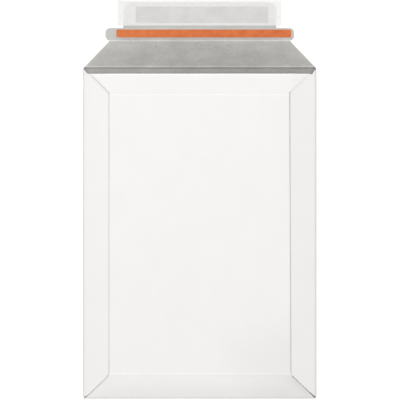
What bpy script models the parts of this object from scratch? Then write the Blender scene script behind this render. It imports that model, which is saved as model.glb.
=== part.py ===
"""Expandable mailing envelope of solid board, lying on its address face with its closing flap open.

One blank is folded into the pocket and the closing flap. A tear tape, an adhesive strip and its
release liner lie on the inside of the flap. Metres, +Z up. The origin is the centre of the
address face, +Y runs from the bottom fold to the flap, and X runs across.
"""
import math

import bmesh
import bpy
from mathutils import Matrix, Vector

# Board and folds
BOARD = 0.0006
FOLD_RADIUS = 0.0006
CREASE_WIDTH = 0.0016
CREASE_DEPTH = 0.0002
FOLD_STEPS = 8

# Pocket
PANEL_WIDTH = 0.234
PANEL_LENGTH = 0.334
CLEAR_HEIGHT = 0.0048
SIDE_BORDER = 0.0255
BOTTOM_BORDER = 0.024
LIP_LENGTH = 0.0202
MOUTH_SETBACK = 0.007
GLUE_TAB = 0.0188
GLUE_TAB_CORNER = 0.004
TOP_MITRE = 0.0239
SIDE_FLAP_CORNER = 0.0022

# Closing flap, from the closing fold outwards
SPINE = 0.0055
ROOT_INSET = 0.0022
TAPER_LENGTH = 0.0265
TAPER_INSET = 0.0234
BAND_LENGTH = 0.0136
BAND_WIDTH = 0.1902
BAND_CORNER = 0.0044
TAB_WIDTH = 0.154
TAB_LENGTH = 0.0254
TAB_CORNER = 0.0095
CORNER_STEPS = 8

# Tape, adhesive and liner, each with its place off the middle of the band or the tab
TAPE_LENGTH = 0.1764
TAPE_WIDTH = 0.0082
TAPE_THICKNESS = 0.00015
TAPE_SHIFT = (0.004, 0.0006)
ADHESIVE_LENGTH = 0.1335
ADHESIVE_WIDTH = 0.0166
ADHESIVE_THICKNESS = 0.0002
ADHESIVE_SHIFT = (0.0022, -0.0002)
LINER_LENGTH = 0.1648
LINER_WIDTH = 0.0254
LINER_THICKNESS = 0.00015
LINER_SHIFT = (-0.0004, 0.0017)

# Clearances
CONTACT_GAP = 0.0003
MITRE_GAP = 0.0006

# Levels of the sheets' middle surfaces
FOLD_MIDDLE = FOLD_RADIUS + BOARD / 2
FOLD_OUTER = FOLD_RADIUS + BOARD
BACK_LEVEL = BOARD / 2
FRONT_LEVEL = BOARD + CLEAR_HEIGHT + BOARD / 2
SEAM_LEVEL = FRONT_LEVEL + BOARD + CONTACT_GAP

# Places across and along the panels
BACK_EDGE = PANEL_WIDTH / 2 - FOLD_OUTER
FRONT_EDGE = PANEL_WIDTH / 2 - SIDE_BORDER
BOTTOM_FOLD = -PANEL_LENGTH / 2
CLOSING_FOLD = PANEL_LENGTH / 2
BOTTOM_CREASE = BOTTOM_FOLD + BOTTOM_BORDER
MOUTH_EDGE = CLOSING_FOLD - MOUTH_SETBACK
TOP_CREASE = MOUTH_EDGE - LIP_LENGTH
SECOND_CREASE = CLOSING_FOLD + TAPER_LENGTH
TEAR_LINE = SECOND_CREASE + BAND_LENGTH
TAB_END = TEAR_LINE + TAB_LENGTH

# What is stacked on the flap's inner face, and the axis that lets it close over the pocket
TAPE_BOTTOM = BOARD + CONTACT_GAP
TAPE_TOP = TAPE_BOTTOM + TAPE_THICKNESS
LINER_BOTTOM = TAPE_BOTTOM + ADHESIVE_THICKNESS + CONTACT_GAP
LINER_TOP = LINER_BOTTOM + LINER_THICKNESS
FRONT_TOP = FRONT_LEVEL + BOARD / 2
SEAM_TOP = SEAM_LEVEL + BOARD / 2
HINGE_LEVEL = (max(FRONT_TOP + LINER_TOP, SEAM_TOP + TAPE_TOP) + CONTACT_GAP) / 2
HINGE_LINE = CLOSING_FOLD - SPINE / 2


def clear_scene():
    for item in list(bpy.data.objects):
        bpy.data.objects.remove(item)


def make_collection(name):
    collection = bpy.data.collections.new(name)
    bpy.context.scene.collection.children.link(collection)
    return collection


def make_material(name, color, roughness):
    material = bpy.data.materials.new(name)
    material.use_nodes = True
    shader = material.node_tree.nodes["Principled BSDF"]
    shader.inputs["Base Color"].default_value = (*color, 1.0)
    shader.inputs["Roughness"].default_value = roughness
    shader.inputs["Metallic"].default_value = 0.0
    return material


def tangent_slope(run, rise, radius):
    """Slope of a straight line that leaves a round fold and climbs to a point."""
    return math.atan2(rise, run) - math.asin(radius / math.hypot(run, rise))


def arc_points(center, radius, turn, steps):
    """Points (along, height) round a fold that starts straight below its centre."""
    points = []
    for step in range(1, steps + 1):
        angle = turn * step / steps
        points.append((center[0] - radius * math.sin(angle), center[1] - radius * math.cos(angle)))
    return points


def crease_stations(along, level, depth, half_width):
    """A scored crease: the sheet dips or rises by its depth over the crease's width."""
    return [
        (along - CREASE_WIDTH / 2, level, half_width),
        (along, level + depth, half_width),
        (along + CREASE_WIDTH / 2, level, half_width),
    ]


def corner_stations(along, half_width, radius, widening):
    """A round corner of the outline, where the sheet widens to its half width or narrows from it."""
    stations = []
    for step in range(CORNER_STEPS + 1):
        angle = math.pi / 2 * step / CORNER_STEPS
        forward, inset = radius * math.sin(angle), radius * (1 - math.cos(angle))
        if widening:
            forward, inset = inset, radius - forward
        stations.append((along + forward, BACK_LEVEL, half_width - inset))
    return stations


def half_sheet(stations):
    """Half of a sheet, open at X = 0, drawn out from one station to the next.

    Each station is its place along Y, its height and its half width. The outer edges come back
    in the same order as the stations.
    """
    mesh = bmesh.new()
    along, level, half_width = stations[0]
    inner = mesh.verts.new((0, along, level))
    outer = mesh.verts.new((half_width, along, level))
    front = mesh.edges.new((inner, outer))
    outer_verts = [outer]
    for along, level, half_width in stations[1:]:
        drawn = bmesh.ops.extrude_edge_only(mesh, edges=[front])
        new_verts = [item for item in drawn["geom"] if isinstance(item, bmesh.types.BMVert)]
        new_verts.sort(key=lambda vert: vert.co.x)
        new_verts[0].co = (0, along, level)
        new_verts[1].co = (half_width, along, level)
        front = mesh.edges.get(new_verts)
        outer_verts.append(new_verts[1])
    outer_edges = [mesh.edges.get(pair) for pair in zip(outer_verts, outer_verts[1:])]
    return mesh, outer_edges


def draw_edges(mesh, edges):
    """Extrude edges in place and return the new edges and their vertices."""
    drawn = bmesh.ops.extrude_edge_only(mesh, edges=edges)
    new_edges = [item for item in drawn["geom"] if isinstance(item, bmesh.types.BMEdge)]
    new_edges = [edge for edge in new_edges if len(edge.link_faces) == 1 and edge not in edges]
    new_verts = [item for item in drawn["geom"] if isinstance(item, bmesh.types.BMVert)]
    ring = [edge for edge in new_edges if all(vert in new_verts for vert in edge.verts)]
    return ring, new_verts


def fold_edges(mesh, edges, center, turn, steps):
    """Bend a panel's edges up and over a round fold whose axis runs along Y."""
    verts = []
    for _ in range(steps):
        edges, verts = draw_edges(mesh, edges)
        bmesh.ops.rotate(mesh, cent=center, matrix=Matrix.Rotation(-turn / steps, 3, "Y"), verts=verts)
    return edges, verts


def extend_edges(mesh, edges, move, end_places, corner):
    """Draw a panel out of its edges, cut its ends to their places along Y and round its foot."""
    edges, verts = draw_edges(mesh, edges)
    bmesh.ops.translate(mesh, vec=move, verts=verts)
    verts.sort(key=lambda vert: vert.co.y)
    verts[0].co.y = end_places[0]
    verts[-1].co.y = end_places[1]
    bmesh.ops.bevel(mesh, geom=[verts[0]], offset=corner, segments=CORNER_STEPS // 2, profile=0.5,
                    affect="VERTICES")


def finish_sheet(name, mesh, material, collection, origin):
    """Mirror the half sheet, give it the board's thickness and put its origin where it belongs."""
    bmesh.ops.recalc_face_normals(mesh, faces=mesh.faces)
    bmesh.ops.translate(mesh, vec=-origin, verts=mesh.verts)
    data = bpy.data.meshes.new(name)
    mesh.to_mesh(data)
    mesh.free()
    data.materials.append(material)
    item = bpy.data.objects.new(name, data)
    item.location = origin
    collection.objects.link(item)
    mirror = item.modifiers.new("halves", "MIRROR")
    mirror.merge_threshold = 0.00005
    thickness = item.modifiers.new("board", "SOLIDIFY")
    thickness.thickness = BOARD
    thickness.offset = 0
    thickness.use_even_offset = True
    return item


def hip_ratio():
    """How far the bottom mitre climbs along Y for each metre that it runs across."""
    return (BOTTOM_BORDER - FOLD_OUTER) / (BACK_EDGE - FRONT_EDGE)


def pocket_stations():
    """Down the back panel, round the bottom fold, up the bottom border and over the front."""
    fold_center = (BOTTOM_FOLD + FOLD_OUTER, BACK_LEVEL + FOLD_MIDDLE)
    slope = tangent_slope(BOTTOM_CREASE - fold_center[0], FRONT_LEVEL - fold_center[1], FOLD_MIDDLE)
    stations = [
        (HINGE_LINE - CONTACT_GAP / 2, BACK_LEVEL, BACK_EDGE),
        (fold_center[0], BACK_LEVEL, BACK_EDGE),
    ]
    for along, level in arc_points(fold_center, FOLD_MIDDLE, math.pi - slope, FOLD_STEPS):
        stations.append((along, level, BACK_EDGE))
    stations.append((BOTTOM_CREASE, FRONT_LEVEL, FRONT_EDGE))
    stations += crease_stations(TOP_CREASE, FRONT_LEVEL, -CREASE_DEPTH, FRONT_EDGE)
    stations.append((MOUTH_EDGE, FRONT_LEVEL, FRONT_EDGE))
    return stations


def add_side_flap(mesh, back_edge):
    """Fold the side flap off the back panel, over the glue tab, with both ends mitred."""
    fold_center = Vector((BACK_EDGE, 0, BACK_LEVEL + FOLD_MIDDLE))
    run = BACK_EDGE - FRONT_EDGE
    slope = tangent_slope(run, SEAM_LEVEL - fold_center.z, FOLD_MIDDLE)
    edges, verts = fold_edges(mesh, [back_edge], fold_center, math.pi - slope, FOLD_STEPS)
    start = verts[0].co
    foot = BOTTOM_CREASE + MITRE_GAP * math.hypot(1, hip_ratio())
    head = HINGE_LINE - TOP_MITRE
    move = Vector((FRONT_EDGE - start.x, 0, SEAM_LEVEL - start.z))
    extend_edges(mesh, edges, move, (foot, head), SIDE_FLAP_CORNER)


def add_glue_tab(mesh, front_edges):
    """Slope the glue tab down off the front panel, under the side flap, with its foot mitred."""
    run = BACK_EDGE - FRONT_EDGE
    slope = tangent_slope(run, SEAM_LEVEL - BACK_LEVEL - FOLD_MIDDLE, FOLD_MIDDLE)
    across = GLUE_TAB * math.cos(slope)
    foot = BOTTOM_CREASE + CREASE_WIDTH - across * hip_ratio()
    move = Vector((across, 0, -GLUE_TAB * math.sin(slope)))
    extend_edges(mesh, front_edges, move, (foot, MOUTH_EDGE), GLUE_TAB_CORNER)


def build_pocket(collection, material):
    stations = pocket_stations()
    mesh, outer_edges = half_sheet(stations)
    add_side_flap(mesh, outer_edges[0])
    add_glue_tab(mesh, outer_edges[-4:])
    return finish_sheet("pocket_board", mesh, material, collection, Vector((0, 0, 0)))


def flap_stations():
    """From the hinge line over the closing fold, the taper, the tear band and the rounded tab."""
    root = PANEL_WIDTH / 2 - ROOT_INSET
    taper = root - TAPER_INSET
    band = BAND_WIDTH / 2
    tab = TAB_WIDTH / 2
    stations = [(HINGE_LINE + CONTACT_GAP / 2, BACK_LEVEL, BACK_EDGE)]
    stations += crease_stations(CLOSING_FOLD, BACK_LEVEL, CREASE_DEPTH, root)
    stations += crease_stations(SECOND_CREASE, BACK_LEVEL, CREASE_DEPTH, taper)
    stations += corner_stations(SECOND_CREASE + CREASE_WIDTH / 2, band, band - taper, True)[1:]
    stations += corner_stations(TEAR_LINE - CREASE_WIDTH / 2 - BAND_CORNER, band, BAND_CORNER, False)
    stations.append((TEAR_LINE, BACK_LEVEL + CREASE_DEPTH, tab))
    stations.append((TEAR_LINE + CREASE_WIDTH / 2, BACK_LEVEL, tab))
    stations += corner_stations(TAB_END - TAB_CORNER, tab, TAB_CORNER, False)
    return stations


def build_flap(collection, material):
    mesh, _ = half_sheet(flap_stations())
    hinge = Vector((0, HINGE_LINE, HINGE_LEVEL))
    return finish_sheet("closure_flap", mesh, material, collection, hinge)


def build_strip(name, size, middle, shift, material, collection, carrier):
    """A flat strip of film or glue that rides on the flap, shifted off the middle of its panel."""
    center = Vector((shift[0], middle[0] + shift[1], middle[1]))
    mesh = bmesh.new()
    bmesh.ops.create_cube(mesh, size=1.0, matrix=Matrix.Diagonal((*size, 1.0)))
    data = bpy.data.meshes.new(name)
    mesh.to_mesh(data)
    mesh.free()
    data.materials.append(material)
    item = bpy.data.objects.new(name, data)
    item.parent = carrier
    item.location = center - carrier.location
    collection.objects.link(item)
    return item


def build_tear_tape(collection, material, flap):
    size = (TAPE_LENGTH, TAPE_WIDTH, TAPE_THICKNESS)
    middle = ((SECOND_CREASE + TEAR_LINE) / 2, TAPE_BOTTOM + TAPE_THICKNESS / 2)
    return build_strip("tear_tape", size, middle, TAPE_SHIFT, material, collection, flap)


def build_adhesive(collection, material, flap):
    size = (ADHESIVE_LENGTH, ADHESIVE_WIDTH, ADHESIVE_THICKNESS)
    middle = ((TEAR_LINE + TAB_END) / 2, TAPE_BOTTOM + ADHESIVE_THICKNESS / 2)
    return build_strip("adhesive_strip", size, middle, ADHESIVE_SHIFT, material, collection, flap)


def build_liner(collection, material, flap):
    size = (LINER_LENGTH, LINER_WIDTH, LINER_THICKNESS)
    middle = ((TEAR_LINE + TAB_END) / 2, LINER_BOTTOM + LINER_THICKNESS / 2)
    return build_strip("release_liner", size, middle, LINER_SHIFT, material, collection, flap)


def main():
    clear_scene()
    envelope = make_collection("cardboard_envelope")
    board = make_material("coated_board", (0.88, 0.87, 0.86), 0.6)
    tape = make_material("tear_tape", (0.75, 0.19, 0.08), 0.4)
    glue = make_material("adhesive", (0.66, 0.67, 0.66), 0.35)
    liner = make_material("silicone_paper", (0.84, 0.84, 0.81), 0.45)
    build_pocket(envelope, board)
    flap = build_flap(envelope, board)
    build_tear_tape(envelope, tape, flap)
    build_adhesive(envelope, glue, flap)
    build_liner(envelope, liner, flap)
    bpy.context.view_layer.update()


main()
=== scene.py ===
import math

import bmesh
import bpy
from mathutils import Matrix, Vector, noise


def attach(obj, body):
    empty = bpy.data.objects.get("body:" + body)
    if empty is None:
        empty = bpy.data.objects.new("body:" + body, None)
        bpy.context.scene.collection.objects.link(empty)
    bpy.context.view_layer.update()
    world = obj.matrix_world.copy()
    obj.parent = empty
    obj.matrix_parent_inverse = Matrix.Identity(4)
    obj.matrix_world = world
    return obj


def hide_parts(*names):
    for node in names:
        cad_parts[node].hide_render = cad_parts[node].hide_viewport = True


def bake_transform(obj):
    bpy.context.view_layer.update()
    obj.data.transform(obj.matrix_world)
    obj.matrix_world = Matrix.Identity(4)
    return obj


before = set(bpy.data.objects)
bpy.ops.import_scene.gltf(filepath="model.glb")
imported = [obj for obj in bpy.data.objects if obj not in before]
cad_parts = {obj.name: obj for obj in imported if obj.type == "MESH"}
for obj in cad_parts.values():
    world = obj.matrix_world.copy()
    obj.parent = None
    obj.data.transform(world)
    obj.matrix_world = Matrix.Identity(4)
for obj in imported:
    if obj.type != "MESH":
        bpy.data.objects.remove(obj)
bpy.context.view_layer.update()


# The board as it lies, in metres: address face down, flap open towards +Y
board = {
    "thickness": 0.0006,
    "halfWidth": 0.11745,
    "bottomFold": -0.16706,
    "hingeLine": 0.16425,
    "closingFold": 0.167,
    "foldRadius": 0.0009,           # to the middle of the sheet
    "sideFoldRadius": 0.0014,
    "shoulder": 0.0009,             # length of the step out to the closing flap's root
    "shoulderCurve": ((0.1, 0.75), (0.25, 0.35), (0.5, 0.08)),    # place on it, step still to go
    "frontLevel": 0.0057,           # middle of the front panel's sheet
    "levelSlack": 0.0004,           # how far below it a point still counts as the front
    "borderLevel": 0.0015,          # above this the sheet at the bottom is the border
    "frontHalfWidth": 0.0915,
    "bottomCrease": -0.1430,
    "topCrease": 0.1394,
    "mouthEdge": 0.15988,
    "borderFootHalfWidth": 0.1152,
    "foldFlare": 0.0013,            # how much wider the bottom fold is at its outermost line
    "glueTab": 0.0204,
    "glueTabColumns": 6,
    "glueTabFootRatio": 0.6,        # how steeply the tab's foot is mitred
    "seamGap": 0.00012,
    "flapHeadOuter": 0.1640,
    "flapHead": 0.1411,             # inner top corner of a side flap
    "headSlope": {-1: 1.005, 1: 0.975},
    "headBend": (0.0170, 0.5),      # how far out its mitre dips, and by what slope
    "flapFoot": {-1: -0.1428, 1: -0.1422},
    "flapFootOuter": {-1: -0.1664, 1: -0.1658},
    "footGape": {-1: (0.0012, 14), 1: (0.0010, 4)},    # how far it opens, and how suddenly
    "footOpening": (0.15, 0.42),    # where round the side fold it leaves the bottom fold
    "flapFootRadius": 0.0100,
    "flapHeadRadius": 0.0012,
    "innerEdge": {-1: (0.0913, 0.0913), 1: (0.0903, 0.0916)},    # at its head and at its foot
    "innerEdgeCurl": {-1: 0.00010, 1: 0.00034},
    "curlWidth": 0.0011,
    "headCurl": {-1: 0.00030, 1: 0.00012},
    "headCurlWidth": 0.004,
    "mitreInset": 0.0016,           # from the outline to where a side flap's mitre begins
    "driftInset": 0.002,            # the same for the shift of its inner edge
    "borderBow": 0.0007,
    "borderTuck": {-1: 0.0001, 1: 0.0003},
    "tuckWidth": 0.014,
    "borderReach": {-1: 0.0003, 1: 0.0007},    # how far its mitred edge runs in under a side flap
    "frontCrown": 0.0005,
    "crownSpan": 0.85,              # share of a half wave from the bottom crease to the mouth
    "frontRipple": 0.00012,
    "mouthRoll": 0.00034,
    "mouthRollWidth": 0.0012,
    "columns": 52,
    "rowSpacing": 0.0045,
    "fineSpacing": 0.003,
    "closeSpacing": 0.0005,
    "endSpacing": 0.0016,           # of the first and last rows of the back panel
    "creaseMargin": 0.0004,         # flat row between a crease and the panel beside it
    "arcSteps": 12,
    "creaseHalfWidth": 0.0008,
    "creaseDepth": 0.00016,
    "bottomBead": 0.000064,         # how high the bottom crease rises
    "closingBead": 0.0003,
    "edgeBevel": 0.00015,
}

# Painted shade along the side flaps' cut edges and mitres, partly the grey core of the crushed cut
# edges and partly the shade of the gaps beneath them; painted shade on the pocket's long folds;
# painted shade that darkens the side flaps, the bottom border's right side and the front's lower
# right; and painted light on the bottom border
sidePaintedShade = {
    "inner": {-1: 0.6, 1: 2.4},
    "innerWidth": 0.0006,
    "head": {-1: 5.8, 1: 2.0},
    "headWidth": 0.0010,
    "headEnd": (0.0155, 0.0185),    # how far out the head's painted shade line fades away
    "foot": {-1: -0.2, 1: 1.0},
    "footWidth": 0.0014,
    "outer": {-1: 4.3, 1: 0.8},
    "outerWidth": {-1: 0.0015, 1: 0.0028},
    # painted shade: the side flaps are darker all over
    "darker": {-1: 0.35, 1: 0.2},
    "border": {-1: 0.0, 1: 1.2},
    "borderStart": (0.02, 0.09),    # how far from the middle the border's painted shade sets in
    "borderEdge": {-1: 0.2, 1: 1.9},
    "borderEdgeWidth": 0.009,
    # painted light over the bottom border
    "borderLight": 0.35,
    "lowerRightShade": 1.3,              # painted shade darkens the front towards that corner
    "lowerRightAcross": (0.0, 0.09),
    "lowerRightDown": (0.06, 0.14),
}

# Lines along the creases: bright ones partly the crease's whitened coat and partly painted
# highlight, the closing fold's dark one painted shade. How bright, how far past the crease and how
# wide
creasePaintedLight = {
    "topCrease": (1.0, 0.0, 0.0005),
    "bottomCrease": (1.3, 0.0011, 0.0005),
    "mouthEdge": (1.3, -0.0004, 0.0005),
    "closingFold": (1.8, 0.0005, 0.0004),
    "closingShade": (-1.4, -0.0013, 0.0006),
    "secondCrease": (2.2, 0.0, 0.0006),
    "tearLine": (-0.5, 0.0003, 0.0007),
}

flap = {
    "rootHalfWidth": 0.1163,
    "taperHalfWidth": 0.0916,
    "secondCrease": 0.1935,
    "bandHalfWidth": 0.0951,
    "bandRound": 0.0044,
    "tearLine": 0.2071,
    "tabHalfWidth": 0.077,
    "tabEnd": 0.2325,
    "tabCorner": 0.0095,
    "tabLift": 0.0006,
    "roundSteps": 6,
    "cornerSteps": 12,
}

tolerance = 0.00001    # within which two places count as the same


def beginEdit(obj):
    bpy.ops.object.select_all(action="DESELECT")
    obj.select_set(True)
    bpy.context.view_layer.objects.active = obj
    bpy.ops.object.mode_set(mode="EDIT")
    bpy.ops.mesh.select_mode(type="EDGE")


def endEdit():
    bpy.ops.object.mode_set(mode="OBJECT")


# Selects the open edges whose two ends pass a test of their place
def selectOpenEdges(test):
    data = bpy.context.object.data
    mesh = bmesh.from_edit_mesh(data)
    for part in (*mesh.verts, *mesh.edges, *mesh.faces):
        part.select = False
    for edge in mesh.edges:
        if len(edge.link_faces) == 1 and all(test(vert.co) for vert in edge.verts):
            edge.select_set(True)
    mesh.select_flush_mode()
    bmesh.update_edit_mesh(data)


def drawOn(shift, stretch=(1, 1, 1), center=(0, 0, 0)):
    bpy.ops.mesh.extrude_region_move(TRANSFORM_OT_translate={"value": shift})
    bpy.ops.transform.resize(value=stretch, center_override=center)


# Draws rows of faces on from the selected row, one for each (along, level, halfWidth)
def drawRows(start, rows):
    along, level, halfWidth = start
    for nextAlong, nextLevel, nextHalfWidth in rows:
        drawOn((0, nextAlong - along, nextLevel - level), (nextHalfWidth / halfWidth, 1, 1))
        along, level, halfWidth = nextAlong, nextLevel, nextHalfWidth


# Draws columns of faces on from the selected one, one for each (across, level, low, high)
def drawColumns(start, columns):
    across, level, low, high = start
    for nextAcross, nextLevel, nextLow, nextHigh in columns:
        scale = (nextHigh - nextLow) / (high - low)
        still = (nextLow - scale * low) / (1 - scale) if abs(scale - 1) > tolerance / 10 else 0
        drawOn((nextAcross - across, 0, nextLevel - level), (1, scale, 1), (0, still, 0))
        across, level, low, high = nextAcross, nextLevel, nextLow, nextHigh


def softLine(distance, width):
    return math.exp(-((distance / width) ** 2))


def softStep(value, low, high):
    share = min(1, max(0, (value - low) / (high - low)))
    return share * share * (3 - 2 * share)


# Even steps from one station to the next, without the first
def stepsBetween(start, end, count):
    return [tuple(a + (b - a) * step / count for a, b in zip(start, end))
            for step in range(1, count + 1)]


def spacedRows(start, end, spacing):
    length = math.hypot(end[0] - start[0], end[1] - start[1])
    return stepsBetween(start, end, max(1, round(length / spacing)))


# A scored crease: the sheet rises or dips in a round bead
def creaseRows(along, level, depth, halfWidth, narrowing=0):
    rows = []
    for share in (-1, -0.7, -0.35, 0, 0.35, 0.7, 1):
        bead = depth * (0.5 + 0.5 * math.cos(math.pi * share))
        across = share * board["creaseHalfWidth"]
        rows.append((along + across, level + bead, halfWidth - narrowing * across))
    return rows


# Slope of a straight line that leaves a round fold and climbs to a point
def tangentSlope(run, rise, radius):
    return math.atan2(rise, run) - math.asin(radius / math.hypot(run, rise))


# Rows that draw in round a corner, up to its end
def roundedEnd(end, level, halfWidth, radius, steps):
    rows = []
    for step in range(1, steps + 1):
        angle = math.pi / 2 * step / steps
        narrowing = radius * (1 - math.cos(angle))
        rows.append((end - radius * (1 - math.sin(angle)), level, halfWidth - narrowing))
    return rows


# From the hinge line over the closing fold, the taper, the tear band and the rounded tab
def flapRows(level, rootRow):
    bead, half = board["creaseDepth"], board["creaseHalfWidth"]
    close, spacing = board["closeSpacing"], board["fineSpacing"]
    root, taper, tab = flap["rootHalfWidth"], flap["taperHalfWidth"], flap["tabHalfWidth"]
    band, bandRound = flap["bandHalfWidth"], flap["bandRound"]
    rows = spacedRows(rootRow, (board["closingFold"] - half, level, root + half), close)
    rows += creaseRows(board["closingFold"], level, board["closingBead"], root, 1)[1:]
    rows.append((rows[-1][0] + close, level, rows[-1][2] - close))
    rows += spacedRows(rows[-1], (flap["secondCrease"] - half, level, taper), spacing)
    rows += creaseRows(flap["secondCrease"], level, bead, taper)[1:]
    bandStart = rows[-1][0]
    bandEnd = flap["tearLine"] - half
    for step in range(1, flap["roundSteps"] + 1):
        angle = math.pi / 2 * step / flap["roundSteps"]
        along = bandStart + bandRound * (1 - math.cos(angle))
        rows.append((along, level, taper + (band - taper) * math.sin(angle)))
    rows += spacedRows(rows[-1], (bandEnd - bandRound, level, band), spacing)
    rows += roundedEnd(bandEnd, level, band, bandRound, flap["roundSteps"])
    rows += creaseRows(flap["tearLine"], level, bead, tab)[1:]
    rows += spacedRows(rows[-1], (flap["tabEnd"] - flap["tabCorner"], level, tab), spacing)
    rows += roundedEnd(flap["tabEnd"], level, tab, flap["tabCorner"], flap["cornerSteps"])
    return rows


# Round the bottom fold and up the sloping border to its crease
def borderRows(low, level, backEdge):
    radius, front, arcSteps = board["foldRadius"], board["frontLevel"], board["arcSteps"]
    slope = tangentSlope(board["bottomCrease"] - low, front - level - radius, radius)
    rows = []
    for step in range(1, arcSteps + 1):
        angle = (math.pi - slope) * step / arcSteps
        narrowing = (backEdge - board["borderFootHalfWidth"]) * step / arcSteps
        along = low - radius * math.sin(angle)
        width = backEdge - narrowing + board["foldFlare"] * math.sin(math.pi * step / arcSteps)
        rows.append((along, level + radius * (1 - math.cos(angle)), width))
    crease = (board["bottomCrease"], front, board["frontHalfWidth"])
    return rows + spacedRows(rows[-1], crease, board["fineSpacing"])


# Over the bottom crease and the front panel to its mouth, whose edge rolls in
def frontRows():
    front, frontEdge = board["frontLevel"], board["frontHalfWidth"]
    half, margin = board["creaseHalfWidth"], board["creaseMargin"]
    rows = []
    creaseSteps = 5
    for step in range(1, creaseSteps + 1):
        along = board["bottomCrease"] + 2 * half * step / creaseSteps
        lift = board["bottomBead"] * math.sin(math.pi * step / creaseSteps)
        rows.append((along, front + lift, frontEdge))
    rows.append((rows[-1][0] + margin, front, frontEdge))
    panelEnd = (board["topCrease"] - half - margin, front, frontEdge)
    rows += spacedRows(rows[-1], panelEnd, board["rowSpacing"])
    rows += creaseRows(board["topCrease"], front, -board["creaseDepth"], frontEdge)
    rows.append((rows[-1][0] + margin, front, frontEdge))
    rollStart = board["mouthEdge"] - board["mouthRollWidth"]
    rows += spacedRows(rows[-1], (rollStart, front, frontEdge), board["fineSpacing"])
    rollSteps = 4
    for step in range(1, rollSteps + 1):
        along = rollStart + board["mouthRollWidth"] * step / rollSteps
        rows.append((along, front - board["mouthRoll"] * (step / rollSteps) ** 2, frontEdge))
    return rows


# Where a slanted end of a side flap is, at a distance from its rounded inner corner
def slantedEnd(distance, corner, slant, radius):
    turn = math.pi / 2 - abs(slant)
    if distance >= radius * (1 - math.cos(turn)):
        return corner + math.tan(slant) * distance
    rounded = radius * (math.sin(math.acos(1 - distance / radius)) - math.tan(turn / 2))
    return corner + math.copysign(1, slant) * rounded


# How far a side flap's foot gapes away from its mitre, towards the outer corner
def footGape(side, share):
    gape, power = board["footGape"][side]
    return gape * share ** power


# Columns round the side fold, with the foot leaving the bottom fold on the way
def sideFoldColumns(side, low, level, backEdge, slope):
    radius, arcSteps = board["sideFoldRadius"], board["arcSteps"]
    lastFoot = board["flapFootOuter"][side] + footGape(side, 1)
    columns = []
    for step in range(1, arcSteps + 1):
        angle = (math.pi - slope) * step / arcSteps
        across = backEdge + radius * math.sin(angle)
        foot = low + (lastFoot - low) * softStep(step / arcSteps, *board["footOpening"])
        columns.append((side * across, level + radius * (1 - math.cos(angle)),
                        foot, board["flapHeadOuter"]))
    return columns


# Folds a side flap off the back panel and over the glue tab, with both ends mitred
def drawSideFlap(side, low, level, backEdge, seamLevel, slope):
    selectOpenEdges(lambda place: abs(place.x - side * backEdge) < tolerance
                    and low - tolerance < place.y < board["flapHeadOuter"] + tolerance
                    and abs(place.z - level) < tolerance)
    columns = sideFoldColumns(side, low, level, backEdge, slope)
    outerAcross, outerLevel = columns[-1][:2]
    inner = board["frontHalfWidth"]
    run = abs(outerAcross) - inner
    bendStart, bendSlope = board["headBend"]
    footSlant = math.atan2(board["flapFootOuter"][side] - board["flapFoot"][side], run)
    headSlant = math.atan(board["headSlope"][side])
    footRadius, footTurn = board["flapFootRadius"], math.pi / 2 + footSlant
    roundRun = footRadius * (1 - math.cos(footTurn))
    straightSteps, roundSteps = 9, 8
    distances = [run + (roundRun - run) * step / straightSteps
                 for step in range(1, straightSteps + 1)]
    distances += [footRadius * (1 - math.cos(footTurn * step / roundSteps))
                  for step in range(roundSteps - 1, -1, -1)]
    for distance in distances:
        foot = slantedEnd(distance, board["flapFoot"][side], footSlant, footRadius)
        head = slantedEnd(distance, board["flapHead"], headSlant, board["flapHeadRadius"])
        columns.append((side * (inner + distance),
                        seamLevel + (outerLevel - seamLevel) * distance / run,
                        foot + footGape(side, distance / run),
                        head - bendSlope * max(0, distance - bendStart)))
    drawColumns((side * backEdge, level, low, board["flapHeadOuter"]), columns)


# Slopes a glue tab down off the front panel, under the side flap
def drawGlueTab(side, slope):
    frontEdge, front = board["frontHalfWidth"], board["frontLevel"]
    foot, head = board["bottomCrease"], board["mouthEdge"]
    selectOpenEdges(lambda place: abs(place.x - side * frontEdge) < tolerance
                    and place.y > foot - tolerance
                    and abs(place.z - front) < board["mouthRoll"] + 10 * tolerance)
    across = board["glueTab"] * math.cos(slope)
    drop = board["glueTab"] * math.sin(slope)
    tabFoot = foot - across * board["glueTabFootRatio"]
    start = (side * frontEdge, front, foot, head)
    end = (side * (frontEdge + across), front - drop, tabFoot, head)
    drawColumns(start, stepsBetween(start, end, board["glueTabColumns"]))


# Rows of the back panel up to the side flaps' heads, then out to the closing flap's root
def backRows(low, level, backEdge):
    head, halfWidth = board["flapHeadOuter"], board["halfWidth"]
    end = board["endSpacing"]
    rows = stepsBetween((low, level, backEdge), (low + end, level, backEdge), 2)
    rows += spacedRows(rows[-1], (head - end, level, backEdge), board["rowSpacing"])
    rows += stepsBetween(rows[-1], (head, level, backEdge), 2)
    for share, toGo in board["shoulderCurve"]:
        along = head + board["shoulder"] * share
        rows.append((along, level, halfWidth - toGo * (halfWidth - backEdge)))
    rows.append((head + board["shoulder"], level, halfWidth))
    return rows


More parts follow.
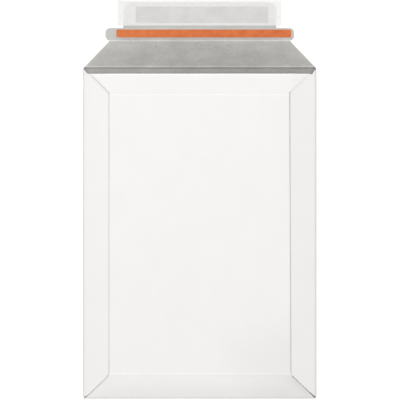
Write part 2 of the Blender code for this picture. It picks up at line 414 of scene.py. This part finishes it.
def addFoldedSheet():
    level = board["thickness"] / 2
    radius = board["sideFoldRadius"]
    backEdge = board["halfWidth"] - radius - level
    low = board["bottomFold"] + board["foldRadius"] + level
    first = low + board["endSpacing"] / 4
    bpy.ops.object.select_all(action="DESELECT")
    bpy.ops.mesh.primitive_grid_add(x_subdivisions=board["columns"], y_subdivisions=1, size=2)
    sheet = bpy.context.object
    sheet.name = "foldedBoard"
    beginEdit(sheet)
    bpy.ops.mesh.select_all(action="SELECT")
    bpy.ops.transform.resize(value=(backEdge, (first - low) / 2, 1))
    bpy.ops.transform.translate(value=(0, (low + first) / 2, level))

    selectOpenEdges(lambda place: place.y > first - tolerance)
    rows = backRows(low, level, backEdge)
    drawRows((first, level, backEdge), rows + flapRows(level, rows[-1]))

    selectOpenEdges(lambda place: place.y < low + tolerance)
    drawRows((low, level, backEdge), borderRows(low, level, backEdge) + frontRows())

    seamLevel = board["frontLevel"] + board["thickness"] + board["seamGap"]
    run = backEdge - board["frontHalfWidth"]
    slope = tangentSlope(run, seamLevel - level - radius, radius)
    for side in (-1, 1):
        drawSideFlap(side, low, level, backEdge, seamLevel, slope)
        drawGlueTab(side, slope)
    bpy.ops.mesh.select_all(action="SELECT")
    bpy.ops.mesh.flip_normals()    # the coated side of the back panel faces down
    endEdit()
    relaxSheet(sheet, slope)
    return sheet


# Where the mitred head and foot of a side flap are, at a distance from its inner edge
def mitreEnds(side, distance):
    bendStart, bendSlope = board["headBend"]
    share = distance / (board["halfWidth"] - board["frontHalfWidth"] - board["mitreInset"])
    head = board["flapHead"] + board["headSlope"][side] * distance
    footDrop = board["flapFootOuter"][side] - board["flapFoot"][side]
    foot = board["flapFoot"][side] + footDrop * share
    return head - bendSlope * max(0, distance - bendStart), foot + footGape(side, share)


# Painted shade on the pocket's long edges where the sheet turns under
def outerPaintedShade(place, side):
    fold = board["halfWidth"] - board["thickness"] / 2
    seen = softStep(abs(place.x), fold - sidePaintedShade["outerWidth"][side], fold)
    return seen * sidePaintedShade["outer"][side] * (place.y < board["flapHeadOuter"] + tolerance)


# Shifts a side flap's inner edge and lifts its free edges. Returns the painted shade there: along
# its cut edges and mitres, and over the whole flap
def relaxSideFlap(place, side, distance):
    edge = board["frontHalfWidth"]
    share = (board["flapHead"] - place.y) / (board["flapHead"] - board["flapFoot"][side])
    edgeAtHead, edgeAtFoot = board["innerEdge"][side]
    drift = edgeAtHead + (edgeAtFoot - edgeAtHead) * share - edge
    driftRun = board["halfWidth"] - edge - board["driftInset"]
    place.x += side * drift * max(0, 1 - distance / driftRun)
    curl = board["innerEdgeCurl"][side] * max(0, 1 - distance / board["curlWidth"]) ** 2
    place.z += curl * (1.35 - 0.5 * min(1, 2.5 * share))    # it curls most at its head
    head, foot = mitreEnds(side, distance)
    nearHead = max(0, 1 - (head - place.y) / board["headCurlWidth"])
    place.z += board["headCurl"][side] * nearHead ** 2
    dark = sidePaintedShade["inner"][side] * softLine(distance, sidePaintedShade["innerWidth"])
    seen = 1 - softStep(distance, *sidePaintedShade["headEnd"])
    dark += sidePaintedShade["head"][side] * seen * softLine(head - place.y, sidePaintedShade["headWidth"])
    dark += sidePaintedShade["foot"][side] * softLine(place.y - foot, sidePaintedShade["footWidth"])
    return dark + sidePaintedShade["darker"][side]


# Bows the sloping border and tucks its mitred edges in. Returns its painted light less its painted
# shade, or None off it
def relaxBorder(place, side):
    edge = board["frontHalfWidth"]
    borderRun = board["bottomCrease"] - board["bottomFold"]
    slopeRun = borderRun - board["foldRadius"] - 10 * tolerance
    share = (board["bottomCrease"] - place.y) / borderRun
    hip = edge + (board["borderFootHalfWidth"] - edge) * min(1, share * borderRun / slopeRun)
    if abs(place.x) >= hip + board["thickness"] / 2:
        return None
    wave = math.sin(math.pi * share)
    bow = wave * max(0, 1 - (place.x / hip) ** 8)
    tuck = board["borderTuck"][side] * wave ** 0.5
    tuck *= max(0, 1 - (hip - abs(place.x)) / board["tuckWidth"]) ** 2
    place.z += board["borderBow"] * bow - tuck
    reach = board["borderReach"][side] * min(1, 3 * share) * (1 - share ** 6)
    place.x += side * reach * (abs(place.x) / hip) ** 6
    dark = sidePaintedShade["border"][side] * softStep(abs(place.x), *sidePaintedShade["borderStart"])
    nearEdge = softLine(hip - abs(place.x), sidePaintedShade["borderEdgeWidth"])
    dark += sidePaintedShade["borderEdge"][side] * nearEdge * min(1, 5 * share)
    return sidePaintedShade["borderLight"] - dark


def crownFront(place):
    across = 1 - (place.x / board["frontHalfWidth"]) ** 2
    along = (place.y - board["bottomCrease"]) / (board["mouthEdge"] - board["bottomCrease"])
    ripple = board["frontRipple"] * noise.noise(Vector((place.x * 14, place.y * 9, 3.1)))
    crown = board["frontCrown"] * math.sin(math.pi * board["crownSpan"] * along)
    place.z += across * (crown + ripple)


# Board never lies dead flat: it bows a little between its folds and its free edges lift. Each
# point also keeps its painted light and shade in an attribute
def relaxSheet(sheet, sideSlope):
    front = board["frontLevel"]
    creaseAndPaintedLight = sheet.data.attributes.new("creaseAndPaintedLight", "FLOAT", "POINT")
    for vert in sheet.data.vertices:
        place = vert.co
        side = 1 if place.x > 0 else -1
        value = -outerPaintedShade(place, side)
        distance = max(0, abs(place.x) - board["frontHalfWidth"])
        if place.y > flap["secondCrease"]:
            place.z += flapLift(place.y)
        elif place.z + distance * math.tan(sideSlope) > front + board["thickness"]:
            value -= relaxSideFlap(place, side, distance)
        elif place.y < board["bottomCrease"] and place.z > board["borderLevel"]:
            borderValue = relaxBorder(place, side)
            value = value if borderValue is None else borderValue
        elif place.z > front - board["levelSlack"] and distance == 0:
            crownFront(place)
        creaseAndPaintedLight.data[vert.index].value = value


def applyModifier(obj, name, kind, **settings):
    bpy.ops.object.select_all(action="DESELECT")
    obj.select_set(True)
    bpy.context.view_layer.objects.active = obj
    modifier = obj.modifiers.new(name, kind)
    for key, value in settings.items():
        setattr(modifier, key, value)
    bpy.ops.object.modifier_apply(modifier=modifier.name)


def addBoard(finishes):
    print("stage: folded board")
    sheet = addFoldedSheet()
    for finish in finishes:
        sheet.data.materials.append(finish)
    paintCreasesAndLight(sheet)
    applyModifier(sheet, "thickness", "SOLIDIFY", thickness=board["thickness"], offset=0,
                  use_even_offset=True, material_offset=1, material_offset_rim=2)
    applyModifier(sheet, "cutEdges", "BEVEL", width=board["edgeBevel"], segments=2,
                  limit_method="ANGLE", angle_limit=math.radians(60))
    bpy.ops.object.shade_smooth_by_angle(angle=math.radians(40))
    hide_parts("pocket_board", "closure_flap")
    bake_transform(sheet)


# One bright or dark line along a crease, at a distance from it: a bright one is partly the
# crease's whitened coat and partly painted highlight, the dark one beside the closing fold is
# painted shade
def paintedCreaseLine(name, distance):
    strength, shift, width = creasePaintedLight[name]
    return strength * softLine(distance - shift, width)


# How light the grey side is. Painted shade darkens the taper towards the closing fold, in its
# middle and towards the right, and darkens the mouth's strip, most at its corners and towards the
# right; painted light lightens the band's ends and the taper's sides; the band and the tab are
# lighter than the taper
greyShading = {
    "band": 1.09,
    "bandEnds": 0.20,
    "endsFrom": (0.075, 0.090),
    "endsPast": (0.003, 0.008),
    "tab": 0.10,
    "tabStart": 0.001,
    "taper": 0.91,
    "taperReach": 0.13,
    "taperSides": 0.19,
    "taperTilt": 0.025,
    "strip": 0.85,                  # the mouth's strip of grey below the closing fold
    "stripHalfWidth": 0.1,
    "stripTilt": 0.05,
    "stripSides": 0.05,
    "stripCorner": 0.25,
    "cornerFrom": (0.1135, 0.1168),
}


def greyShadingAt(place):
    fold, second = board["closingFold"], flap["secondCrease"]
    if place.y > second:
        # painted light: the band is lighter towards its ends
        ends = softStep(abs(place.x), *greyShading["endsFrom"])
        low, high = greyShading["endsPast"]
        ends = max(ends, softStep(place.y, second + low, second + high))
        onTab = softStep(place.y, flap["tearLine"], flap["tearLine"] + greyShading["tabStart"])
        return greyShading["band"] + greyShading["bandEnds"] * ends + greyShading["tab"] * onTab
    if place.y > fold:
        # painted shade: the taper darkens towards the closing fold and in its middle
        across = place.x / flap["rootHalfWidth"]
        reach = (place.y - fold) / (second - fold)
        greyToneAndShade = greyShading["taper"] + greyShading["taperReach"] * reach
        return greyToneAndShade + greyShading["taperSides"] * abs(across) ** 3 - greyShading["taperTilt"] * across
    # painted shade: the mouth's strip, darkest at its corners
    across = place.x / greyShading["stripHalfWidth"]
    corner = softStep(abs(place.x), *greyShading["cornerFrom"])
    greyToneAndShade = greyShading["strip"] - greyShading["stripTilt"] * across - greyShading["stripCorner"] * corner
    return greyToneAndShade + greyShading["stripSides"] * across ** 2


# Marks each point of the board with its painted light and shade: above 0 for a crease's whitened
# coat with painted highlight, below 0 for painted shade; and gives the grey side its tone with
# painted light and shade
def paintCreasesAndLight(sheet):
    greyToneAndShade = sheet.data.attributes.new("greyToneAndShade", "FLOAT", "POINT")
    creaseAndPaintedLight = sheet.data.attributes["creaseAndPaintedLight"]
    frontStart = board["frontLevel"] - board["thickness"]
    frontEdge, mouth = board["frontHalfWidth"], board["mouthEdge"]
    for index, vert in enumerate(sheet.data.vertices):
        place = vert.co
        value, shade = 0, 1.0
        if place.z > frontStart and place.y <= mouth + board["closeSpacing"]:
            if abs(place.x) <= frontEdge + tolerance and creaseAndPaintedLight.data[index].value == 0:
                value = paintedCreaseLine("topCrease", place.y - board["topCrease"])
                value += paintedCreaseLine("bottomCrease", place.y - board["bottomCrease"])
                # painted shade darkens the front towards its lower right corner
                shadow = softStep(place.x, *sidePaintedShade["lowerRightAcross"])
                shadow *= softStep(-place.y, *sidePaintedShade["lowerRightDown"])
                value -= sidePaintedShade["lowerRightShade"] * shadow
                value += paintedCreaseLine("mouthEdge", place.y - mouth)
        else:
            value = paintedCreaseLine("closingFold", place.y - board["closingFold"])
            value += paintedCreaseLine("closingShade", place.y - board["closingFold"])
            value += paintedCreaseLine("secondCrease", place.y - flap["secondCrease"])
            value += paintedCreaseLine("tearLine", place.y - flap["tearLine"])
            shade = greyShadingAt(place)
        creaseAndPaintedLight.data[index].value += value
        greyToneAndShade.data[index].value = shade


def startMaterial(name):
    material = bpy.data.materials.new(name)
    material.use_nodes = True
    tree = material.node_tree
    return material, tree, tree.nodes["Principled BSDF"]


def addNode(tree, kind, inputs=None, **settings):
    node = tree.nodes.new(kind)
    for key, value in settings.items():
        setattr(node, key, value)
    for key, value in (inputs or {}).items():
        if isinstance(value, bpy.types.NodeSocket):
            tree.links.new(value, node.inputs[key])
        else:
            node.inputs[key].default_value = value
    return node


def objectPlace(tree, scale=(1, 1, 1)):
    place = addNode(tree, "ShaderNodeTexCoord").outputs["Object"]
    return addNode(tree, "ShaderNodeMapping", {"Vector": place, "Scale": scale}).outputs["Vector"]


def noiseField(tree, place, scale, detail=3.0, roughness=0.55):
    inputs = {"Vector": place, "Scale": scale, "Detail": detail, "Roughness": roughness}
    return addNode(tree, "ShaderNodeTexNoise", inputs).outputs["Fac"]


def spread(tree, value, low, high, newLow=0.0, newHigh=1.0):
    inputs = {"Value": value, "From Min": low, "From Max": high,
              "To Min": newLow, "To Max": newHigh}
    return addNode(tree, "ShaderNodeMapRange", inputs).outputs["Result"]


def mixColors(tree, share, first, second, blend="MIX"):
    node = tree.nodes.new("ShaderNodeMix")
    node.data_type = "RGBA"
    node.blend_type = blend
    for key, value in ((0, share), (6, first), (7, second)):
        if isinstance(value, bpy.types.NodeSocket):
            tree.links.new(value, node.inputs[key])
        else:
            node.inputs[key].default_value = (*value, 1) if isinstance(value, tuple) else value
    return node.outputs[2]


def mixValues(tree, share, first, second):
    node = tree.nodes.new("ShaderNodeMix")
    for key, value in ((0, share), (2, first), (3, second)):
        tree.links.new(value, node.inputs[key])
    return node.outputs[0]


# 1 inside a rectangle on the flat flap, 0 outside it, with a soft edge
def withinRectangle(tree, left, right, low, high, softness):
    place = addNode(tree, "ShaderNodeTexCoord").outputs["Object"]
    axes = addNode(tree, "ShaderNodeSeparateXYZ", {0: place}).outputs
    share = None
    for axis, start, end in ((0, left, right), (1, low, high)):
        for edge, sign in ((start, 1), (end, -1)):
            half = sign * softness / 2
            inside = spread(tree, axes[axis], edge - half, edge + half)
            share = inside if share is None else addMath(tree, "MULTIPLY", share, inside)
    return share


def addMath(tree, operation, first, second):
    return addNode(tree, "ShaderNodeMath", {0: first, 1: second}, operation=operation).outputs[0]


def scaleColor(tree, color, factor):
    node = addNode(tree, "ShaderNodeVectorMath", {0: color}, operation="SCALE")
    tree.links.new(factor, node.inputs["Scale"])
    return node.outputs["Vector"]


def addBump(tree, shader, height, strength, distance):
    inputs = {"Height": height, "Strength": strength, "Distance": distance}
    node = addNode(tree, "ShaderNodeBump", inputs)
    tree.links.new(node.outputs["Normal"], shader.inputs["Normal"])


coat = {
    "light": (0.909, 0.892, 0.879),
    "darker": (0.897, 0.879, 0.865),
    "crease": 0.05,
    "creaseAndLightRange": (-6, 1),
    "cloudScale": 30,
    "fibreScale": 1500,
    "specular": 0.3,
}


# White clay coat over board: nearly smooth, with a faint cloud and the fibres just telling
def coatFinish():
    material, tree, shader = startMaterial("whiteCoat")
    cloud = noiseField(tree, objectPlace(tree), coat["cloudScale"], 4)
    fibre = noiseField(tree, objectPlace(tree, (1, 0.25, 1)), coat["fibreScale"], 3)
    color = mixColors(tree, spread(tree, cloud, 0.35, 0.65), coat["darker"], coat["light"])
    # Painted highlight and painted shade, with the creases' whitened coat, brighten or darken the
    # coat
    creaseAndPaintedLight = addNode(tree, "ShaderNodeAttribute", attribute_name="creaseAndPaintedLight").outputs["Fac"]
    low, high = coat["creaseAndLightRange"]
    factor = spread(tree, creaseAndPaintedLight, low, high, 1 + low * coat["crease"], 1 + high * coat["crease"])
    color = scaleColor(tree, color, factor)
    tree.links.new(color, shader.inputs["Base Color"])
    tree.links.new(spread(tree, fibre, 0.3, 0.7, 0.46, 0.58), shader.inputs["Roughness"])
    shader.inputs["Specular IOR Level"].default_value = coat["specular"]
    addBump(tree, shader, fibre, 0.25, 0.00003)
    return material


grey = {
    "dark": (0.33, 0.321, 0.305),
    "warm": (0.435, 0.405, 0.378),
    "light": (0.525, 0.513, 0.492),
    "darkFleck": (0.17, 0.158, 0.142),
    "lightFleck": (0.66, 0.645, 0.615),
    "clean": (0.432, 0.442, 0.435),
    "crease": 0.2,
    "creaseAndLightRange": (-2, 2),
    "specular": 0.25,
}


# Grey recycled board: cloudy, with light and dark fibres pressed into it
def greyFinish():
    material, tree, shader = startMaterial("greyBoard")
    place = objectPlace(tree)
    cloud = noiseField(tree, objectPlace(tree, (0.55, 1, 1)), 60, 5, 0.6)
    mottle = noiseField(tree, place, 420, 4, 0.65)
    color = mixColors(tree, spread(tree, cloud, 0.26, 0.74), grey["dark"], grey["light"])
    speck = mixColors(tree, spread(tree, mottle, 0.3, 0.7), grey["dark"], grey["light"])
    color = mixColors(tree, 0.26, color, speck)
    tint = noiseField(tree, place, 140, 2)
    color = mixColors(tree, spread(tree, tint, 0.42, 0.7, 0, 0.35), color, grey["warm"])
    lightFibre = noiseField(tree, objectPlace(tree, (1, 0.4, 1)), 900, 2)
    darkFibre = noiseField(tree, objectPlace(tree, (0.5, 1, 1.7)), 700, 2)
    lightShare = spread(tree, lightFibre, 0.62, 0.74, 0, 0.32)
    darkShare = spread(tree, darkFibre, 0.64, 0.74, 0, 0.35)
    color = mixColors(tree, lightShare, color, grey["lightFleck"])
    color = mixColors(tree, darkShare, color, grey["darkFleck"])
    # Painted highlight and shade along the creases, and the grey side's tone with its painted
    # light and shade, brighten or darken the board
    creaseAndPaintedLight = addNode(tree, "ShaderNodeAttribute", attribute_name="creaseAndPaintedLight").outputs["Fac"]
    greyToneAndShade = addNode(tree, "ShaderNodeAttribute", attribute_name="greyToneAndShade").outputs["Fac"]
    color = mixColors(tree, spread(tree, greyToneAndShade, 1.04, 1.3, 0, 0.6), color, grey["clean"])
    low, high = grey["creaseAndLightRange"]
    factor = spread(tree, creaseAndPaintedLight, low, high, 1 + low * grey["crease"], 1 + high * grey["crease"])
    color = scaleColor(tree, scaleColor(tree, color, factor), greyToneAndShade)
    tree.links.new(color, shader.inputs["Base Color"])
    tree.links.new(spread(tree, mottle, 0.3, 0.7, 0.78, 0.92), shader.inputs["Roughness"])
    shader.inputs["Specular IOR Level"].default_value = grey["specular"]
    addBump(tree, shader, mottle, 0.35, 0.00005)
    return material


cutEdge = {"dark": (0.30, 0.285, 0.265), "light": (0.50, 0.48, 0.455), "specular": 0.2}


# Die-cut edge: pressed layers of grey fibre
def cutFinish():
    material, tree, shader = startMaterial("cutEdge")
    layers = noiseField(tree, objectPlace(tree, (0.2, 0.2, 6)), 900, 3)
    color = mixColors(tree, spread(tree, layers, 0.3, 0.7), cutEdge["dark"], cutEdge["light"])
    tree.links.new(color, shader.inputs["Base Color"])
    shader.inputs["Roughness"].default_value = 0.9
    shader.inputs["Specular IOR Level"].default_value = cutEdge["specular"]
    addBump(tree, shader, layers, 0.4, 0.00004)
    return material


tape = {
    "halfWidth": 0.0040,
    "left": -0.0842,
    "right": 0.0922,
    "middle": 0.2009,
    "rise": 0.00003,
    "thickness": 0.00007,
    "cornerRadius": 0.0016,
    "waver": 0.00012,               # how far its edges stray from straight
    "edgeBevel": 0.00002,
    "deep": (0.575, 0.124, 0.028),
    "bright": (0.695, 0.183, 0.047),
    "grain": (0.42, 0.075, 0.018),
    "edge": (0.50, 0.070, 0.014),
    "edgeWidth": 0.0014,
    "leftEnd": (0.74, 0.215, 0.052),
    "specular": 0.2,
}


# A strip of film or paper, subdivided and with rounded corners, that lies over the open flap
def addStrip(name, left, right, low, high, level, cuts, corner):
    bpy.ops.object.select_all(action="DESELECT")
    bpy.ops.mesh.primitive_grid_add(x_subdivisions=cuts[0], y_subdivisions=cuts[1], size=2)
    strip = bpy.context.object
    strip.name = name
    beginEdit(strip)
    bpy.ops.mesh.select_all(action="SELECT")
    bpy.ops.transform.resize(value=((right - left) / 2, (high - low) / 2, 1))
    bpy.ops.transform.translate(value=((left + right) / 2, (low + high) / 2, level))
    mesh = bmesh.from_edit_mesh(strip.data)
    bpy.ops.mesh.select_mode(type="VERT")
    bpy.ops.mesh.select_all(action="DESELECT")
    for vert in mesh.verts:
        vert.select = len(vert.link_edges) == 2
    mesh.select_flush_mode()
    bmesh.update_edit_mesh(strip.data)
    bpy.ops.mesh.bevel(offset=corner, segments=5, affect="VERTICES")
    endEdit()
    return strip


# How far the open flap has risen off the floor at a place along it
def flapLift(along):
    reach = max(0, (along - flap["secondCrease"]) / (flap["tabEnd"] - flap["secondCrease"]))
    return flap["tabLift"] * reach ** 2


def addTearTape(finish):
    print("stage: tear tape")
    low, high = tape["middle"] - tape["halfWidth"], tape["middle"] + tape["halfWidth"]
    strip = addStrip("tearTapeStrip", tape["left"], tape["right"], low, high,
                     board["thickness"], (90, 5), tape["cornerRadius"])
    for vert in strip.data.vertices:
        vert.co.z += flapLift(vert.co.y) + tape["rise"]
        vert.co.y += tape["waver"] * noise.noise(Vector((vert.co.x * 60, 1.5, 0)))
    strip.data.materials.append(finish)
    applyModifier(strip, "film", "SOLIDIFY", thickness=tape["thickness"], offset=1)
    applyModifier(strip, "softEdges", "BEVEL", width=tape["edgeBevel"], segments=1,
                  limit_method="ANGLE")
    bpy.ops.object.shade_smooth_by_angle(angle=math.radians(40))
    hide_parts("tear_tape")
    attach(strip, "flap")


def tapeFinish():
    material, tree, shader = startMaterial("orangeFilm")
    place = objectPlace(tree)
    cloud = noiseField(tree, place, 130, 5, 0.65)
    grain = noiseField(tree, place, 900, 3)
    color = mixColors(tree, spread(tree, cloud, 0.32, 0.68), tape["deep"], tape["bright"])
    color = mixColors(tree, spread(tree, grain, 0.6, 0.75, 0, 0.3), color, tape["grain"])
    low, high = tape["middle"] - tape["halfWidth"], tape["middle"] + tape["halfWidth"]
    core = withinRectangle(tree, tape["left"], tape["right"], low, high, tape["edgeWidth"])
    color = mixColors(tree, spread(tree, core, 0.3, 1.0, 0.4, 0), color, tape["edge"])
    across = addNode(tree, "ShaderNodeSeparateXYZ", {0: place}).outputs[0]
    color = mixColors(tree, spread(tree, across, -0.09, 0.0, 0.4, 0), color, tape["leftEnd"])
    tree.links.new(color, shader.inputs["Base Color"])
    tree.links.new(spread(tree, grain, 0.3, 0.7, 0.35, 0.5), shader.inputs["Roughness"])
    shader.inputs["Specular IOR Level"].default_value = tape["specular"]
    addBump(tree, shader, cloud, 0.3, 0.00006)
    return material


glue = {
    "left": -0.0646,
    "right": 0.0689,
    "low": 0.2113,
    "high": 0.2279,
    "rise": 0.00003,
    "thickness": 0.00012,
    "cornerRadius": 0.0008,
    "waver": 0.00025,
    "edgeBevel": 0.00004,
    "dark": (0.30, 0.295, 0.28),
    "light": (0.40, 0.395, 0.38),
}


def addAdhesive(finish):
    print("stage: adhesive strip")
    strip = addStrip("adhesiveFilm", glue["left"], glue["right"], glue["low"], glue["high"],
                     board["thickness"], (80, 10), glue["cornerRadius"])
    for vert in strip.data.vertices:
        vert.co.z += flapLift(vert.co.y) + glue["rise"]
        vert.co.y += glue["waver"] * noise.noise(Vector((vert.co.x * 90, vert.co.y * 90, 5)))
    strip.data.materials.append(finish)
    applyModifier(strip, "film", "SOLIDIFY", thickness=glue["thickness"], offset=1)
    applyModifier(strip, "softEdges", "BEVEL", width=glue["edgeBevel"], segments=2,
                  limit_method="ANGLE")
    bpy.ops.object.shade_smooth_by_angle(angle=math.radians(50))
    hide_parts("adhesive_strip")
    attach(strip, "flap")


def adhesiveFinish():
    material, tree, shader = startMaterial("hotMelt")
    place = objectPlace(tree)
    streak = noiseField(tree, objectPlace(tree, (1, 0.2, 1)), 160, 4)
    blot = noiseField(tree, place, 70, 4, 0.6)
    color = mixColors(tree, spread(tree, blot, 0.35, 0.65), glue["dark"], glue["light"])
    tree.links.new(color, shader.inputs["Base Color"])
    tree.links.new(spread(tree, streak, 0.3, 0.7, 0.12, 0.3), shader.inputs["Roughness"])
    addBump(tree, shader, streak, 0.5, 0.0001)
    return material


liner = {
    "left": -0.0828,
    "right": 0.0820,
    "low": 0.2088,
    "high": 0.2347,
    "rise": 0.0002,
    "thickness": 0.00006,
    "cornerRadius": 0.0006,
    "sideCurl": 0.0012,
    "curlStart": 0.9,               # share of the way from its middle to its side
    "endDroop": 0.0004,
    "ripple": 0.00008,
    "darker": (0.915, 0.905, 0.89),
    "light": (0.945, 0.935, 0.92),
    "bondedAlpha": (0.41, 0.54),    # the paper turns clearer where it is bonded
    "backedAlpha": (0.67, 0.72),    # over bare board
    "freeAlpha": (0.40, 0.45),      # past the board's edges
    "specular": 0.35,
}


def addLiner(finish):
    print("stage: release liner")
    strip = addStrip("releaseLiner", liner["left"], liner["right"], liner["low"], liner["high"],
                     board["thickness"], (80, 14), liner["cornerRadius"])
    middle = (liner["left"] + liner["right"]) / 2
    for vert in strip.data.vertices:
        place = vert.co
        side = abs(place.x - middle) / (liner["right"] - middle)
        start = liner["curlStart"]
        curl = liner["sideCurl"] * max(0, (side - start) / (1 - start)) ** 2
        past = max(0, (place.y - flap["tabEnd"]) / (liner["high"] - flap["tabEnd"]))
        curl -= liner["endDroop"] * past ** 2
        ripple = liner["ripple"] * (1 + noise.noise(Vector((place.x * 45, place.y * 45, 2))))
        vert.co.z += flapLift(place.y) + liner["rise"] + curl + ripple
    strip.data.materials.append(finish)
    applyModifier(strip, "paper", "SOLIDIFY", thickness=liner["thickness"], offset=1)
    bpy.ops.object.shade_smooth_by_angle(angle=math.radians(50))
    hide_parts("release_liner")
    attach(strip, "flap")


def linerFinish():
    material, tree, shader = startMaterial("siliconePaper")
    place = objectPlace(tree)
    cloud = noiseField(tree, place, 240, 4, 0.6)
    blot = noiseField(tree, place, 55, 4, 0.6)
    color = mixColors(tree, spread(tree, cloud, 0.3, 0.7), liner["darker"], liner["light"])
    tree.links.new(color, shader.inputs["Base Color"])
    bonded = withinRectangle(tree, glue["left"], glue["right"], glue["low"], glue["high"], 0.0006)
    wet = spread(tree, blot, 0.3, 0.7, *liner["bondedAlpha"])
    dry = spread(tree, cloud, 0.3, 0.7, *liner["backedAlpha"])
    tabHalf = flap["tabHalfWidth"]
    backed = withinRectangle(tree, -tabHalf, tabHalf, liner["low"], flap["tabEnd"], 0.0004)
    free = spread(tree, cloud, 0.3, 0.7, *liner["freeAlpha"])
    alpha = mixValues(tree, bonded, mixValues(tree, backed, free, dry), wet)
    tree.links.new(alpha, shader.inputs["Alpha"])
    tree.links.new(spread(tree, cloud, 0.3, 0.7, 0.30, 0.42), shader.inputs["Roughness"])
    shader.inputs["Specular IOR Level"].default_value = liner["specular"]
    addBump(tree, shader, cloud, 0.2, 0.00004)
    return material


studio = {
    "pixel": 0.0010070,             # metres of the flat envelope under one pixel
    "imageWidth": 400,
    "lookAt": (0.00025, 0.03294, 0.003),
    "lens": 150,
    "sensor": 36,
    "skyStrength": 0.38,
    "floorSize": 6,
    "floorLevel": -0.00002,
    "floorBounce": 0.5,             # how light the floor is to the rays that light the object
    "floorDiffuse": 0.3,            # as seen: what keeps the shadow, and the glow that whitens it
    "floorGlow": 0.8,
}

softBoxes = {
    "windowLight": {"place": (-1.0, 2.5, 2.4), "size": 1.8, "watts": 62.6},
    "ceilingLight": {"place": (0.0, 0.03, 2.6), "size": 1.6, "watts": 23.1},
}


def addCamera():
    print("stage: camera")
    data = bpy.data.cameras.new("overhead")
    data.lens = studio["lens"]
    data.sensor_width = studio["sensor"]
    camera = bpy.data.objects.new("overhead", data)
    distance = studio["pixel"] * studio["imageWidth"] * studio["lens"] / studio["sensor"]
    camera.location = Vector(studio["lookAt"]) + Vector((0, 0, distance))
    bpy.context.scene.collection.objects.link(camera)
    bpy.context.scene.camera = camera


# 1 for rays that show the background: straight from the camera, mirrored or through glass
def showsBackground(tree):
    path = addNode(tree, "ShaderNodeLightPath").outputs
    seen = addMath(tree, "MAXIMUM", path["Is Camera Ray"], path["Is Glossy Ray"])
    return addMath(tree, "MAXIMUM", seen, path["Is Transmission Ray"])


def addLights():
    print("stage: lights and floor")
    for name, box in softBoxes.items():
        data = bpy.data.lights.new(name, "AREA")
        data.shape = "SQUARE"
        data.size = box["size"]
        data.energy = box["watts"]
        lamp = bpy.data.objects.new(name, data)
        lamp.location = box["place"]
        toward = Vector(studio["lookAt"]) - lamp.location
        lamp.rotation_euler = toward.to_track_quat("-Z", "Y").to_euler()
        bpy.context.scene.collection.objects.link(lamp)
    world = bpy.data.worlds.new("room")
    world.use_nodes = True
    tree = world.node_tree
    background = tree.nodes["Background"]
    background.inputs["Color"].default_value = (1, 1, 1, 1)
    strength = spread(tree, showsBackground(tree), 0, 1, studio["skyStrength"], 1)
    tree.links.new(strength, background.inputs["Strength"])
    bpy.context.scene.world = world


def addFloor():
    bpy.ops.object.select_all(action="DESELECT")
    middle = (0, 0, studio["floorLevel"])
    bpy.ops.mesh.primitive_plane_add(size=studio["floorSize"], location=middle)
    floor = bpy.context.object
    floor.name = "paleFloor"
    material = bpy.data.materials.new("paleFloor")
    material.use_nodes = True
    tree = material.node_tree
    tree.nodes.clear()
    output = addNode(tree, "ShaderNodeOutputMaterial")
    plain = addNode(tree, "ShaderNodeBsdfDiffuse", {"Color": (studio["floorBounce"],) * 3 + (1,)})
    shown = addNode(tree, "ShaderNodeBsdfDiffuse", {"Color": (studio["floorDiffuse"],) * 3 + (1,)})
    glow = addNode(tree, "ShaderNodeEmission", {"Strength": studio["floorGlow"]})
    white = addNode(tree, "ShaderNodeAddShader", {0: shown.outputs[0], 1: glow.outputs[0]})
    surfaces = {0: showsBackground(tree), 1: plain.outputs[0], 2: white.outputs[0]}
    mix = addNode(tree, "ShaderNodeMixShader", surfaces)
    tree.links.new(mix.outputs[0], output.inputs["Surface"])
    floor.data.materials.append(material)


bpy.context.scene.view_settings.view_transform = "Standard"
addCamera()
addLights()
addFloor()
addBoard([coatFinish(), greyFinish(), cutFinish()])
addTearTape(tapeFinish())
addAdhesive(adhesiveFinish())
addLiner(linerFinish())
